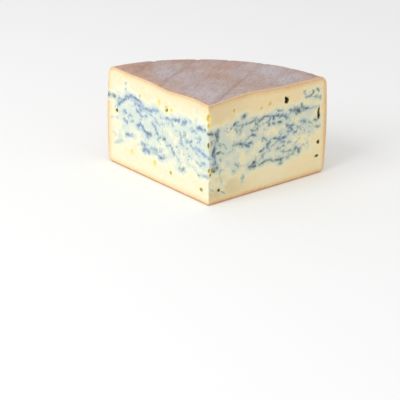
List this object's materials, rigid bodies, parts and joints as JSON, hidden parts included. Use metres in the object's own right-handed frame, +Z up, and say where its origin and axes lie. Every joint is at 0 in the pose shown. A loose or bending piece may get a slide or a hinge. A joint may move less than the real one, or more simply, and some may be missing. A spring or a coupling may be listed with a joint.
{
  "type": "blue cheese wedge",
  "caption": "Wedge of blue-veined cheese cut from a low wheel: flat cut faces meet at a sharp front edge, with a rounded washed rind behind and a flat underside",
  "frame": {"origin": "under the middle of the wedge's box, on the level of its flat underside", "axes": "+Z up; +Y from the sharp front edge to the curved rind; +X to the right as seen from the front edge"},
  "size_m": [0.1999, 0.14, 0.093],
  "materials": {
    "blue_cheese": "soft ivory paste with blue-green mould veins, dull waxy sheen, under a thin orange rind with a greyish pink bloom"
  },
  "bodies": {
    "root": {"cheese_wedge": "blue_cheese"}
  },
  "joints": []
}
